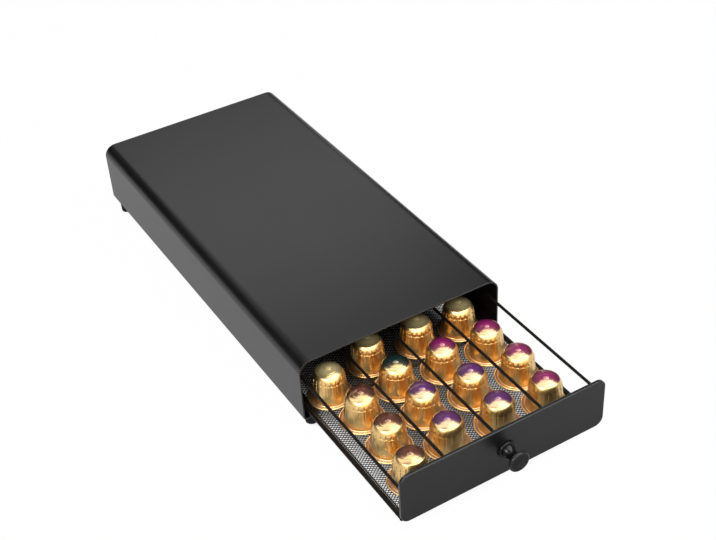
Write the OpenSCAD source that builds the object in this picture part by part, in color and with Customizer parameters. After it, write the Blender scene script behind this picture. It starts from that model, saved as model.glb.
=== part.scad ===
// Coffee pod drawer: a low folded-steel casing that a coffee machine stands on, and a wire-framed
// drawer that slides out of its front. Everything is in millimetres, with +X to the right of someone
// facing the drawer, +Y to the back and +Z up. The origin is the middle of the footprint.

/* [Casing] */
// Width over the side walls
casing_w = 186; // [170:1:230]
// Length from the front edge to the back edge
casing_len = 382; // [320:1:460]
// Height of the folded sheet, without its feet
casing_h = 57.3; // [50:0.1:75]
// Thickness of the sheet steel
sheet = 1.2; // [0.8:0.1:2]
// Outside radius where the top folds down into the side walls
corner_r = 10.8; // [5:0.2:18]
// Outside radius where the side walls fold in under the casing
bend_r = 2.4; // [2.2:0.1:4]
// Width of the strips folded in along the bottom
flange_w = 15; // [12:0.5:22]
// How far the back panel is set in from the back edge
back_inset = 0.5; // [0:0.1:4]
// Length of the tabs that the back panel is welded in by
back_tab_len = 12; // [6:0.5:16]

/* [Feet] */
// Largest diameter of a rubber foot
foot_d = 11; // [8:0.5:13]
// Height of a foot
foot_h = 10; // [4:0.5:12]
// How much narrower the tread is than the top of the foot
foot_taper = 1.2; // [0:0.1:2]
// Rounding of the tread's edge
foot_round = 1; // [0.4:0.1:1.5]
// Centre of a front foot from the casing's side
front_foot_side = 9.5; // [7:0.5:11]
// Centre of a front foot from the casing's front edge
front_foot_end = 6.5; // [6.5:0.5:30]
// Centre of a rear foot from the casing's side
rear_foot_side = 6.5; // [6.5:0.5:11]
// Centre of a rear foot from the casing's back edge
rear_foot_end = 14; // [9:0.5:40]

/* [Runners] */
// Thickness of the runner's own sheet
runner_t = 1; // [0.8:0.1:1.5]
// Height of the runner's underside above the casing's underside
runner_z = 5.5; // [2.2:0.1:8]
// Play above and below the rod that slides in the runner
run_gap = 0.3; // [0.2:0.05:0.6]
// Play between the rod and the runner's back
rod_side_gap = 0.8; // [0.4:0.1:2]
// How far the runner starts behind the casing's front edge
runner_front = 4.5; // [3.5:0.5:20]
// How far the stop stands behind the casing's front edge
stop_at = 56.4; // [30:0.1:120]
// Height of the stop above the runner
stop_h = 14; // [6:0.5:20]

/* [Front panel] */
// How far the drawer stands open
opening = 137.3; // [0:0.1:300]
// Thickness of the front panel
panel_t = 2.8; // [2:0.1:3]
// Gap between the panel and each side wall
panel_side_gap = 1.1; // [0.5:0.1:3]
// Gap between the panel and the casing's top
panel_top_gap = 4.1; // [1:0.1:8]
// Gap between the panel and the casing's bottom strips
panel_bottom_gap = 5.3; // [1:0.1:8]
// Radius of the panel's corners
panel_r = 7.5; // [3:0.5:14]
// Rounding along the panel's edges
panel_edge_r = 0.8; // [0.3:0.1:0.9]

/* [Knob] */
// How far the knob stands out from the panel
knob_reach = 17; // [12:0.5:25]
// Radius of the knob's head
knob_head_r = 8.7; // [7:0.1:12]
// Thickness of the knob's head at its rim
knob_head_t = 3.6; // [2.5:0.1:5]
// Radius of the rose against the panel
knob_rose_r = 7.5; // [5:0.1:9]
// Radius of the neck at its thinnest
knob_neck_r = 3.6; // [3.2:0.1:5]
// Height of the knob above the middle of the panel
knob_rise = 1; // [-5:0.5:5]
// Diameter of the screw that holds the knob
knob_screw_d = 4; // [3:0.5:5]

/* [Wire frame] */
// Diameter of the rod round the floor
rod_d = 4; // [3:0.1:5]
// Diameter of the bars across the floor
cross_d = 2.6; // [2:0.1:3]
// Diameter of the rail round the top
rail_d = 2.5; // [2:0.1:3.5]
// Diameter of the divider hoops
divider_d = 2.5; // [2:0.1:3.5]
// Diameter of the posts at the drawer's back corners
post_d = 2.5; // [2:0.1:3.5]
// Height of the top rail above the floor rod, centre to centre
rail_rise = 28.6; // [20:0.2:32]
// Height of the dividers above the floor rod, centre to centre
divider_rise = 25.9; // [16:0.2:30]
// Bend radius at the back corners, to the middle of the wire
loop_bend_r = 8; // [5:0.5:14]
// Bend radius of a hoop, to the middle of the wire
hoop_bend_r = 5; // [3:0.5:10]
// How far a hoop's front leg stands behind the panel
hoop_setback = 10; // [4:0.5:30]

/* [Mesh floor] */
// Thickness of the expanded metal
mesh_t = 0.8; // [0.5:0.1:1.5]
// Length of a diamond across the drawer, from knot to knot, rounded to fit the width
mesh_long = 16.5; // [12:0.5:30]
// Length of a diamond along the drawer, from knot to knot, rounded to fit the length
mesh_short = 12; // [9:0.5:24]
// Width of one strand
strand_w = 2; // [1:0.1:3]
// Width of the uncut border
mesh_border = 2.5; // [1:0.5:8]

/* [Coffee pods] */
// Diameter of a pod's flange
pod_d = 37; // [33:0.1:38]
// Height of a pod
pod_h = 29.2; // [27:0.1:36]
// Radius of the curled rim round the flange
rim_r = 0.7; // [0.5:0.05:1]
// Wall of a pod
pod_wall = 0.8; // [0.6:0.05:1]
// Radius of the body at the flange
body_foot_r = 14.9; // [14:0.1:15.5]
// Radius of the body where the shoulder starts
body_top_r = 12.8; // [12:0.1:13.5]
// Height at which the shoulder starts
shoulder_z = 21.8; // [19:0.1:23]
// Height of the bead round the body
bead_z = 18.9; // [17:0.1:20]
// How far the bead stands out
bead_h = 0.2; // [0.1:0.05:0.3]
// Height at which the domed cap starts
cap_z = 26; // [24.5:0.1:27]
// Radius of the cap where it meets the shoulder
cap_r = 10.4; // [9.4:0.1:11.5]
// Radius of the groove round the dome
groove_r = 6.9; // [5:0.1:8]
// Number of flutes round the body
flutes = 20; // [16:1:30]
// Depth of a flute at the shoulder
flute_depth = 0.5; // [0.1:0.05:0.5]
// Width of a flute
flute_w = 1.4; // [0.6:0.1:1.6]
// Height at which the flutes start
flute_z = 6; // [2:0.5:12]
// Play between neighbouring flanges in a column
pod_gap = 0.3; // [0.1:0.1:3]

/* [Hidden] */
$fn = 64;
columns = 4;
rows = 4;

LEFT = -1;
RIGHT = 1;
seat = 0.05;        // hairline between pieces that are welded, glued or laid on each other
cut = 1;            // how far a cutting shape runs past what it cuts

// Casing: half widths and the inner faces
half_w = casing_w / 2;
wall_x = half_w - sheet;
flange_x = half_w - flange_w;
back_y = casing_len - back_inset - sheet;

// Runners: a channel lying against each wall, open towards the drawer
runner_x = wall_x - seat;
rod_x = runner_x - runner_t - rod_side_gap - rod_d / 2;
rod_z = runner_z + runner_t + run_gap + rod_d / 2;
runner_h = 2 * runner_t + 2 * run_gap + rod_d;
lip_x = rod_x - rod_d / 4;
runner_end_gap = 3;
runner_end = back_y - back_tab_len - runner_end_gap;

// Drawer, in its closed place, where the panel's face is flush with the casing's front edge
close_gap = 0.3;
rear_y = back_y - close_gap - rod_d / 2;
rod_start = panel_t + seat;
panel_z0 = sheet + panel_bottom_gap;
panel_z1 = casing_h - sheet - panel_top_gap;
panel_half_w = wall_x - panel_side_gap;
knob_z = (panel_z0 + panel_z1) / 2 + knob_rise;
rail_z = rod_z + rail_rise;
divider_z = rod_z + divider_rise;
cross_drop = 0.3 * rod_d;               // the cross bars sit this far below the rod's middle
cross_z = rod_z - cross_drop;
cross_x = rod_x - 0.35 * rod_d;         // their ends run this far into the rod
cross_bars = 3;
hoop_front_y = panel_t + hoop_setback;
cross_step = (rear_y - hoop_front_y) / cross_bars;
mesh_z = cross_z + cross_d / 2 + seat;
mesh_top = mesh_z + mesh_t;
mesh_edge_gap = 0.2;
mesh_half_w = rod_x - rod_d / 2 - mesh_edge_gap;
mesh_corner_r = loop_bend_r - rod_d / 2 - mesh_edge_gap;
mesh_front_gap = 1;
mesh_y0 = panel_t + mesh_front_gap;
mesh_y1 = rear_y - rod_d / 2 - mesh_edge_gap;
column_pitch = 2 * rod_x / columns;
post_x = rod_x - loop_bend_r - post_d;   // on the straight stretch across the back

// Pods: how far each column's first flange stands from the panel, and how far each pod has slid
// sideways, as a share of the room that its channel leaves it
front_gaps = [8.5, 23, 19.5, 17.5];
drifts = [
    [0.37, 1, 0.89, 0],
    [0.1, 0.47, 0.47, 0],
    [0.05, 0.21, 0.1, 0.1],
    [-0.05, 0.21, -0.21, -0.42]
];
bump_r = 2.4;           // the bump in the middle of a pod's cap
bump_h = 0.7;
dome_steps = 4;
pod_z = mesh_top + seat;
under_divider_z = divider_z - divider_d / 2 - pod_z;
beside_divider_r = body_r(min(under_divider_z, shoulder_z));
drift_room = column_pitch / 2 - divider_d / 2 - beside_divider_r - pod_gap;

// The origin is the middle of everything that shows, at the level of the treads
shift_y = -(casing_len - opening - knob_reach - seat) / 2;

black_coat = "#3b3a3b";
dark_coat = "#2a292a";
rubber_black = "#1c1c1c";
plated = "#b9babd";
gold = "#c98f2c";

module place() translate([0, shift_y, foot_h]) children();
module place_open() place() translate([0, -opening, 0]) children();

function pod_name(column, row) = str("pod_", column, "_", row);

// Radius of a pod's body, and height of its dome, without beads and grooves
function body_r(z) = body_foot_r + (body_top_r - body_foot_r) * z / shoulder_z;
function dome_z(r) = cap_z + (pod_h - bump_h - cap_z) * (1 - pow(r / cap_r, 2));

// ---------- Round wire ----------
module wire_x(d, x0, x1) translate([x0, 0, 0]) rotate([0, 90, 0]) cylinder(d = d, h = x1 - x0);
module wire_y(d, y0, y1) translate([0, y0, 0]) rotate([-90, 0, 0]) cylinder(d = d, h = y1 - y0);
module wire_z(d, z0, z1) translate([0, 0, z0]) cylinder(d = d, h = z1 - z0);

// A quarter bend round the Z axis, from the +X side to the +Y side
module quarter_bend(d, r) rotate_extrude(angle = 90) translate([r, 0]) circle(d = d);

// A wire that runs back along the left, across the rear and forward along the right
module rear_loop(d) {
    for (side = [LEFT, RIGHT])
        translate([side * rod_x, 0, 0]) wire_y(d, rod_start, rear_y - loop_bend_r);
    translate([0, rear_y, 0]) wire_x(d, -rod_x + loop_bend_r, rod_x - loop_bend_r);
    translate([rod_x - loop_bend_r, rear_y - loop_bend_r, 0]) quarter_bend(d, loop_bend_r);
    translate([-rod_x + loop_bend_r, rear_y - loop_bend_r, 0])
        rotate([0, 0, 90]) quarter_bend(d, loop_bend_r);
}

// ---------- Casing ----------
// The casing's cross-section, filled in, with every face moved in by inset
module casing_outline(inset) {
    half = half_w - inset;
    top_r = corner_r - inset;
    low_r = bend_r - inset;
    top = casing_h - inset;
    translate([-half, inset + low_r]) square([2 * half, top - top_r - inset - low_r]);
    translate([-half + top_r, top - top_r]) square([2 * (half - top_r), top_r]);
    translate([-half + low_r, inset]) square([2 * (half - low_r), low_r]);
    for (side = [LEFT, RIGHT]) {
        translate([side * (half - top_r), top - top_r]) circle(r = top_r);
        translate([side * (half - low_r), inset + low_r]) circle(r = low_r);
    }
}

// Extrudes a cross-section drawn in X and Z backwards from y0 to y1
module along_y(y0, y1) translate([0, y1, 0]) rotate([90, 0, 0]) linear_extrude(y1 - y0) children();

// One sheet folded down at both sides and in under the bottom
module casing_shell() color(black_coat) place()
    along_y(0, casing_len) difference() {
        casing_outline(0);
        casing_outline(sheet);
        translate([-flange_x, -cut]) square([2 * flange_x, sheet + 2 * cut]);
    }

// A plate welded in at the back, with tabs against the walls and the top and a bottom strip
module back_panel() color(black_coat) place() {
    half = flange_x - 2 * seat;
    tab_y = back_y - back_tab_len;
    tab_len = back_tab_len + seat;
    side_tab_h = casing_h / 4;
    side_tab_x = wall_x - seat - sheet;
    top_tab_w = casing_w / 6;
    top_tab_x = casing_w / 5;
    along_y(back_y, back_y + sheet) {
        intersection() {
            casing_outline(sheet + seat);
            translate([-half_w, sheet + seat]) square([casing_w, casing_h]);
        }
        translate([-half, 0]) square([2 * half, bend_r + sheet]);
    }
    translate([-half, tab_y, 0]) cube([2 * half, tab_len, sheet]);
    for (turned = [0, 1]) mirror([turned, 0, 0]) {
        translate([side_tab_x, tab_y, side_tab_h]) cube([sheet, tab_len, side_tab_h]);
        translate([top_tab_x - top_tab_w / 2, tab_y, casing_h - 2 * sheet - seat])
            cube([top_tab_w, tab_len, sheet]);
    }
}

// The channel's cross-section on the right-hand side
module runner_section() translate([lip_x, runner_z]) difference() {
    square([runner_x - lip_x, runner_h]);
    translate([-cut, runner_t]) square([runner_x - lip_x - runner_t + cut, runner_h - 2 * runner_t]);
}

// A channel that carries the drawer's rod, with a stop turned up from it
module runner(side) color(dark_coat) place() mirror([side == LEFT ? 1 : 0, 0, 0]) {
    stop_base = runner_z + runner_h - seat;
    stop_top = stop_base + stop_h + seat;
    stop_len = 10;
    round_r = 2;
    along_y(runner_front, runner_end) runner_section();
    translate([runner_x - runner_t, stop_at - stop_len, stop_base])
        cube([runner_t, stop_len, stop_h + seat]);
    along_y(stop_at - runner_t, stop_at) difference() {
        translate([lip_x, stop_base]) square([runner_x - lip_x, stop_h + seat]);
        translate([lip_x - cut, stop_top - round_r]) difference() {
            square([round_r + cut, round_r + cut]);
            translate([round_r + cut, 0]) circle(r = round_r);
        }
    }
}
module runner_left() runner(LEFT);
module runner_right() runner(RIGHT);

// A stick-on rubber foot, narrower at the tread, with a rounded edge
module foot(side, y, inset) color(rubber_black) place()
    translate([side * (half_w - inset), y, -foot_h]) rotate_extrude() {
        tread_r = foot_d / 2 - foot_taper / 2;
        polygon(concat(
            [[0, 0]],
            [for (a = [-90:15:0]) [tread_r - foot_round * (1 - cos(a)), foot_round * (1 + sin(a))]],
            [[foot_d / 2, foot_h - seat], [0, foot_h - seat]]
        ));
    }
module foot_front_left() foot(LEFT, front_foot_end, front_foot_side);
module foot_front_right() foot(RIGHT, front_foot_end, front_foot_side);
module foot_rear_left() foot(LEFT, casing_len - rear_foot_end, rear_foot_side);
module foot_rear_right() foot(RIGHT, casing_len - rear_foot_end, rear_foot_side);

// ---------- Front panel and knob ----------
// Half of the plate's section near an edge: from the line at 0 out to the rounded edge at reach
module panel_edge_section(reach) {
    r = panel_edge_r;
    polygon(concat(
        [[0, 0]],
        [for (a = [-90:15:0]) [reach - r + r * cos(a), r + r * sin(a)]],
        [for (a = [0:15:90]) [reach - r + r * cos(a), panel_t - r + r * sin(a)]],
        [[0, panel_t]]
    ));
}

// A plate with rounded corners and edges, lying flat, centred on the origin
module panel_plate(w, h) {
    x = w / 2 - panel_r;
    y = h / 2 - panel_r;
    translate([-x, -y, 0]) cube([2 * x, 2 * y, panel_t]);
    for (turn = [0, 180]) rotate([0, 0, turn]) {
        translate([x, y, 0]) rotate([90, 0, 0]) linear_extrude(2 * y) panel_edge_section(panel_r);
        translate([-x, y, 0]) rotate([0, 0, 90]) rotate([90, 0, 0])
            linear_extrude(2 * x) panel_edge_section(panel_r);
        translate([x, y, 0]) rotate_extrude(angle = 90) panel_edge_section(panel_r);
        translate([-x, y, 0]) rotate([0, 0, 90]) rotate_extrude(angle = 90) panel_edge_section(panel_r);
    }
}

module front_panel() color(black_coat) place_open() difference() {
    hole_play = 0.2;
    translate([0, panel_t, (panel_z0 + panel_z1) / 2]) rotate([90, 0, 0])
        panel_plate(2 * panel_half_w, panel_z1 - panel_z0);
    translate([0, panel_t + cut, knob_z]) rotate([90, 0, 0])
        cylinder(d = knob_screw_d + 2 * hole_play, h = panel_t + 2 * cut);
}

// A turned knob: rose, step, waisted neck and a domed head with a fine groove in its face
module knob() color(rubber_black) place_open() translate([0, -seat, knob_z]) rotate([90, 0, 0]) {
    rose_t = 2;
    rose_round = rose_t / 2;
    step_r = (knob_rose_r + knob_neck_r) / 2;
    step_t = 1.4;
    neck_z0 = rose_t + step_t;
    neck_z1 = knob_reach - knob_head_t;
    under_head_r = 0.8 * knob_head_r;
    edge_r = knob_head_t / 2.5;
    edge_span = 60;
    dome = 0.5;
    dome_slope = dome / (knob_head_r - edge_r);
    half_rim = (knob_head_t - dome) / 2;
    groove_r = 0.56 * knob_head_r;
    groove_w = 0.7;
    groove_deep = 0.2;
    thread_play = 0.05;
    hole_depth = 9;
    difference() {
        rotate_extrude() polygon(concat(
            [[0, 0], [knob_rose_r, 0]],
            [for (a = [0:30:90])
                [knob_rose_r - rose_round * (1 - cos(a)), rose_t - rose_round * (1 - sin(a))]],
            [[step_r, rose_t]],
            [for (t = [0:0.125:1]) [
                knob_neck_r + (step_r - knob_neck_r) * pow(1 - t, 3)
                    + (under_head_r - knob_neck_r) * pow(t, 4),
                neck_z0 + (neck_z1 - neck_z0) * t
            ]],
            [for (a = [-edge_span:30:edge_span]) [
                knob_head_r - edge_r * (1 - cos(a)),
                neck_z1 + half_rim * (1 + sin(a) / sin(edge_span))
            ]],
            [for (side = [1, 0, -1]) let (r = groove_r + side * groove_w / 2)
                [r, knob_reach - dome_slope * r - (side == 0 ? groove_deep : 0)]],
            [[0, knob_reach]]
        ));
        translate([0, 0, -cut]) cylinder(d = knob_screw_d + 2 * thread_play, h = hole_depth + cut);
    }
}

// The pan-head screw behind the panel, with a cross recess
module knob_screw() color(plated) place_open() translate([0, panel_t + seat, knob_z]) rotate([90, 0, 0]) {
    head_h = 0.6 * knob_screw_d;
    shank = panel_t + 8;
    slot_w = 0.25 * knob_screw_d;
    slot_l = 1.1 * knob_screw_d;
    slot_deep = 0.6 * head_h;
    cylinder(d = knob_screw_d, h = shank);
    difference() {
        translate([0, 0, -head_h]) cylinder(d = 2 * knob_screw_d, h = head_h);
        for (turn = [0, 90]) rotate([0, 0, turn])
            translate([-slot_l / 2, -slot_w / 2, -head_h - cut]) cube([slot_l, slot_w, slot_deep + cut]);
    }
}

// ---------- Wire frame ----------
// The rod that slides in the runners, with the bars that carry the mesh
module floor_frame() color(dark_coat) place_open() {
    translate([0, 0, rod_z]) rear_loop(rod_d);
    for (bar = [0:cross_bars - 1])
        translate([0, hoop_front_y + bar * cross_step, cross_z]) wire_x(cross_d, -cross_x, cross_x);
}

module top_rail() color(dark_coat) place_open() translate([0, 0, rail_z]) rear_loop(rail_d);

module rear_post(side) color(dark_coat) place_open() translate([side * post_x, rear_y, 0])
    wire_z(post_d, rod_z + rod_d / 2 + seat, rail_z - rail_d / 2 - seat);
module rear_post_left() rear_post(LEFT);
module rear_post_right() rear_post(RIGHT);

// A wire hoop between two columns: down to the mesh in front and to the floor rod behind
module divider(line) color(dark_coat) place_open() translate([(line - columns / 2) * column_pitch, 0, 0]) {
    bend_z = divider_z - hoop_bend_r;
    translate([0, 0, divider_z]) wire_y(divider_d, hoop_front_y + hoop_bend_r, rear_y - hoop_bend_r);
    translate([0, hoop_front_y, 0]) wire_z(divider_d, mesh_top + seat, bend_z);
    translate([0, rear_y, 0]) wire_z(divider_d, rod_z + rod_d / 2 + seat, bend_z);
    translate([0, rear_y - hoop_bend_r, bend_z]) rotate([0, 0, 90]) rotate([90, 0, 0])
        quarter_bend(divider_d, hoop_bend_r);
    translate([0, hoop_front_y + hoop_bend_r, bend_z]) rotate([0, 0, 90]) rotate([90, 0, 0])
        rotate([0, 0, 90]) quarter_bend(divider_d, hoop_bend_r);
}
module divider_left() divider(1);
module divider_centre() divider(2);
module divider_right() divider(3);

// The mesh's outline, with its back corners rounded inside the rod's bends
module mesh_outline() {
    x = mesh_half_w - mesh_corner_r;
    y = mesh_y1 - mesh_corner_r;
    translate([-mesh_half_w, mesh_y0]) square([2 * mesh_half_w, y - mesh_y0]);
    translate([-x, y]) square([2 * x, mesh_corner_r]);
    for (side = [LEFT, RIGHT]) translate([side * x, y]) circle(r = mesh_corner_r);
}

// Expanded metal: rows of diamonds, every second row shifted by half a diamond
module mesh_floor() color(dark_coat) place_open() translate([0, 0, mesh_z]) linear_extrude(mesh_t) {
    cut_w = 2 * (mesh_half_w - mesh_border);
    cut_len = mesh_y1 - mesh_y0 - 2 * mesh_border;
    across = round(cut_w / mesh_long);
    along = round(cut_len / mesh_short);
    step_x = cut_w / across;
    step_y = cut_len / along;
    open_share = 1 - strand_w * norm([step_x, step_y]) / (step_x * step_y);
    hole_x = open_share * step_x / 2;
    hole_y = open_share * step_y / 2;
    difference() {
        mesh_outline();
        for (shifted = [0, 1], column = [0:across - 1 - shifted], row = [0:along - 1 - shifted])
            translate([
                -cut_w / 2 + (column + 0.5 + shifted / 2) * step_x,
                mesh_y0 + mesh_border + (row + 0.5 + shifted / 2) * step_y
            ]) polygon([[hole_x, 0], [0, hole_y], [-hole_x, 0], [0, -hole_y]]);
    }
}

// ---------- Coffee pods ----------
// Half section of a pod's outside, from the middle of its lid to the middle of its cap
module pod_outer_section() {
    flange_t = 0.5;
    lip = 0.25;
    bead_half = 0.35;
    shoulder_round = 0.15;
    groove_deep = 0.2;
    groove_out_r = groove_r + 0.35;
    groove_in_r = groove_r - 0.35;
    rim_x = pod_d / 2 - rim_r;
    translate([rim_x, rim_r]) circle(r = rim_r);
    polygon(concat(
        [[0, 0], [rim_x, 0], [rim_x, flange_t], [body_foot_r + lip, flange_t]],
        [[body_r(flange_t + lip), flange_t + lip]],
        [for (side = [-1, 0, 1]) let (z = bead_z + side * bead_half)
            [body_r(z) + (side == 0 ? bead_h : 0), z]],
        [[body_r(shoulder_z - shoulder_round), shoulder_z - shoulder_round]],
        [[body_top_r - shoulder_round, shoulder_z + shoulder_round]],
        [for (step = [0:dome_steps]) let (r = cap_r + (groove_out_r - cap_r) * step / dome_steps)
            [r, dome_z(r)]],
        [[groove_r, dome_z(groove_r) - groove_deep]],
        [for (step = [0:dome_steps]) let (r = groove_in_r + (bump_r - groove_in_r) * step / dome_steps)
            [r, dome_z(r)]],
        [[0.75 * bump_r, pod_h - bump_h / 4], [0, pod_h]]
    ));
}

module pod_inner_section() {
    polygon(concat(
        [[0, pod_wall], [body_r(pod_wall) - pod_wall, pod_wall], [body_top_r - pod_wall, shoulder_z]],
        [for (step = [dome_steps:-1:0]) let (r = (cap_r - pod_wall) * step / dome_steps)
            [r, dome_z(r + pod_wall) - pod_wall]]
    ));
}

// A sealed pod standing on its flange, hollow, with flutes that deepen up to its scalloped shoulder
module pod(column, row) {
    start_depth = flute_depth / 10;
    start_r = body_r(flute_z) - start_depth;
    lean = atan((start_r - body_top_r + flute_depth) / (shoulder_z - flute_z));
    flute_len = (cap_z - flute_z) / cos(lean);
    x = (column - 0.5 - columns / 2) * column_pitch + drifts[column - 1][row - 1] * drift_room;
    y = panel_t + front_gaps[column - 1] + pod_d / 2 + (row - 1) * (pod_d + pod_gap);
    color(gold) place_open() translate([x, y, pod_z]) difference() {
        rotate_extrude() difference() {
            pod_outer_section();
            pod_inner_section();
        }
        for (flute = [0:flutes - 1]) rotate([0, 0, flute * 360 / flutes])
            translate([start_r, 0, flute_z]) rotate([0, -lean, 0])
                translate([0, -flute_w / 2, 0]) cube([flute_depth + cut, flute_w, flute_len]);
    }
}

casing_shell();
back_panel();
runner_left();
runner_right();
foot_front_left();
foot_front_right();
foot_rear_left();
foot_rear_right();
front_panel();
knob();
knob_screw();
floor_frame();
mesh_floor();
top_rail();
rear_post_left();
rear_post_right();
divider_left();
divider_centre();
divider_right();
for (column = [1:columns], row = [1:rows])
    pod(column, row);
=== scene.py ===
"""Coffee pod drawer: a folded-steel casing with a wire-framed drawer full of coffee pods.

Laid out as a Blender add-on and run as a script. Lengths in the meshes are in metres, in the
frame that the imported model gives: +X to the right, +Y to the back, +Z up.
"""
import math
import random

import bmesh
import bpy
import numpy as np
from bpy.props import FloatProperty, FloatVectorProperty, IntProperty, PointerProperty
from mathutils import Matrix, Vector


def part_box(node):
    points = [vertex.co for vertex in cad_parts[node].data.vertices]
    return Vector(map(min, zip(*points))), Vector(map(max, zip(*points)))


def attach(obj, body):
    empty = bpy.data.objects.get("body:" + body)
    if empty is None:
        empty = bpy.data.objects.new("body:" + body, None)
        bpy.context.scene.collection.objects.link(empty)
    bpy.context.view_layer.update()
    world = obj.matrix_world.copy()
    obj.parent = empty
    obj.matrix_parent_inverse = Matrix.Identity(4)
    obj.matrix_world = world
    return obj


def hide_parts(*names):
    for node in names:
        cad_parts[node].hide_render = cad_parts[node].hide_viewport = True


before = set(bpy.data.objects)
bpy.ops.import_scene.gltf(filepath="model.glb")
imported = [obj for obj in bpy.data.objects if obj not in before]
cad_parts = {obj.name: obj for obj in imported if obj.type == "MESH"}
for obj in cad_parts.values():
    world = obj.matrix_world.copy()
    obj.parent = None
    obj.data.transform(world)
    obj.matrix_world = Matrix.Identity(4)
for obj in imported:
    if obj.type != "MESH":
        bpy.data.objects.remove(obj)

bl_info = {
    "name": "Coffee pod drawer",
    "version": (1, 0, 0),
    "blender": (4, 5, 0),
    "location": "3D View > Sidebar > Pod drawer",
    "description": "Builds a coffee pod drawer piece by piece, with its finishes and a small studio",
    "category": "Add Mesh",
}

MM = 0.001
ACROSS, ALONG, UPWARD, FORWARD = (1, 0, 0), (0, 1, 0), (0, 0, 1), (0, -1, 0)
WHITE = (1.0, 1.0, 1.0)
CASING = "casing"
DRAWER = "drawer"
FEET = ("foot_front_left", "foot_front_right", "foot_rear_left", "foot_rear_right")
RUNNERS = ("runner_left", "runner_right")
DIVIDERS = ("divider_left", "divider_centre", "divider_right")
POSTS = ("rear_post_left", "rear_post_right")
CAP_COLOURS = ("brown", "violet", "green", "magenta", "plain")
# The caps of each column of pods, front to rear
POD_COLUMNS = ("brown brown brown plain", "violet violet green plain", "violet violet magenta plain",
               "magenta magenta magenta plain")
WELD_SEED, POD_SEED = 11, 5
# How the cut edge of the casing's sheet is rounded, from one face to the other
CUT_ROUND = [math.radians(angle) for angle in (60, 30, 0, -30, -60)]


def node_box(node):
    """The lowest and highest corner of a node, as arrays"""
    lowest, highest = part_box(node)
    return np.array(lowest), np.array(highest)


def node_middle(node):
    """The middle of a node's box"""
    low, high = node_box(node)
    return (low + high) / 2


# ---------- Sizes and colours ----------
def length(name, description, millimetres):
    """A length that a user may change, kept in metres"""
    return FloatProperty(name=name, description=description, default=millimetres * MM, min=0.0,
                         precision=5, subtype="DISTANCE", unit="LENGTH")


def share(name, description, default):
    """A number from nought to one that a user may change"""
    return FloatProperty(name=name, description=description, default=default, min=0.0, max=1.0,
                         subtype="FACTOR")


def power(name, description, default):
    """The power of a lamp, in watts"""
    return FloatProperty(name=name, description=description, default=default, min=0.0, unit="POWER")


def colour(name, description, default):
    """A linear colour that a user may change"""
    return FloatVectorProperty(name=name, description=description, default=default, size=3,
                               min=0.0, max=1.0, subtype="COLOR")


class CasingSettings(bpy.types.PropertyGroup):
    """Sizes and finish of the folded casing"""
    sheet: length("Sheet", "Thickness of the sheet steel", 1.2)
    top_bend: length("Top bend", "Outside radius between the top and the sides", 10.8)
    low_bend: length("Low bend", "Outside radius where the sides fold in below", 2.4)
    flange: length("Flange", "Width of the strips folded in along the bottom", 15)
    edge_round: length("Edge rounding", "Rounding of the coated edges", 0.2)
    coat: colour("Coat", "Colour of the powder coat", (0.0052, 0.005, 0.005))
    coat_roughness: share("Coat roughness", "Roughness of the powder coat", 0.3)
    rubber: colour("Rubber", "Colour of the feet", (0.006, 0.006, 0.006))


class FrontSettings(bpy.types.PropertyGroup):
    """Sizes and finish of the front panel and its knob"""
    corner: length("Corner", "Radius of the panel's corners", 7.5)
    edge_round: length("Edge rounding", "Rounding along the panel's edges", 0.55)
    hole: length("Hole", "Radius of the screw hole in the panel", 2.2)
    rose: length("Rose", "Radius of the knob's rose", 7.5)
    neck: length("Neck", "Radius of the knob's neck", 3.6)
    head_rim: length("Head rim", "Thickness of the knob's head", 3.6)
    knob_black: colour("Knob", "Colour of the knob", (0.004, 0.0039, 0.0039))


class WireSettings(bpy.types.PropertyGroup):
    """Sizes and finish of the wire frame and the mesh"""
    rod: length("Floor rod", "Diameter of the rod round the floor", 4)
    cross: length("Cross bar", "Diameter of the bars across the floor", 2.6)
    loop_bend: length("Loop bend", "Bend radius at the back corners", 8)
    hoop_bend: length("Hoop bend", "Bend radius of a divider hoop", 5)
    mesh_across: length("Mesh pitch across", "Pitch of the mesh across the drawer", 3.4)
    mesh_along: length("Mesh pitch along", "Pitch of the mesh along the drawer", 2.6)
    mesh_sheet: length("Mesh sheet", "Thickness of the expanded sheet", 0.28)
    mesh_tilt: length("Strand tilt", "How far a strand's edges are pushed up and down", 0.14)
    bond_across: length("Knot length", "Half length of a knot in the mesh", 0.44)
    bond_along: length("Knot width", "Half width of a knot in the mesh", 0.32)
    mesh_border: length("Mesh border", "Width of the mesh's flat border", 0.8)
    wire_coat: colour("Wire coat", "Colour of the coated wire", (0.008, 0.0055, 0.0045))


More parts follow.
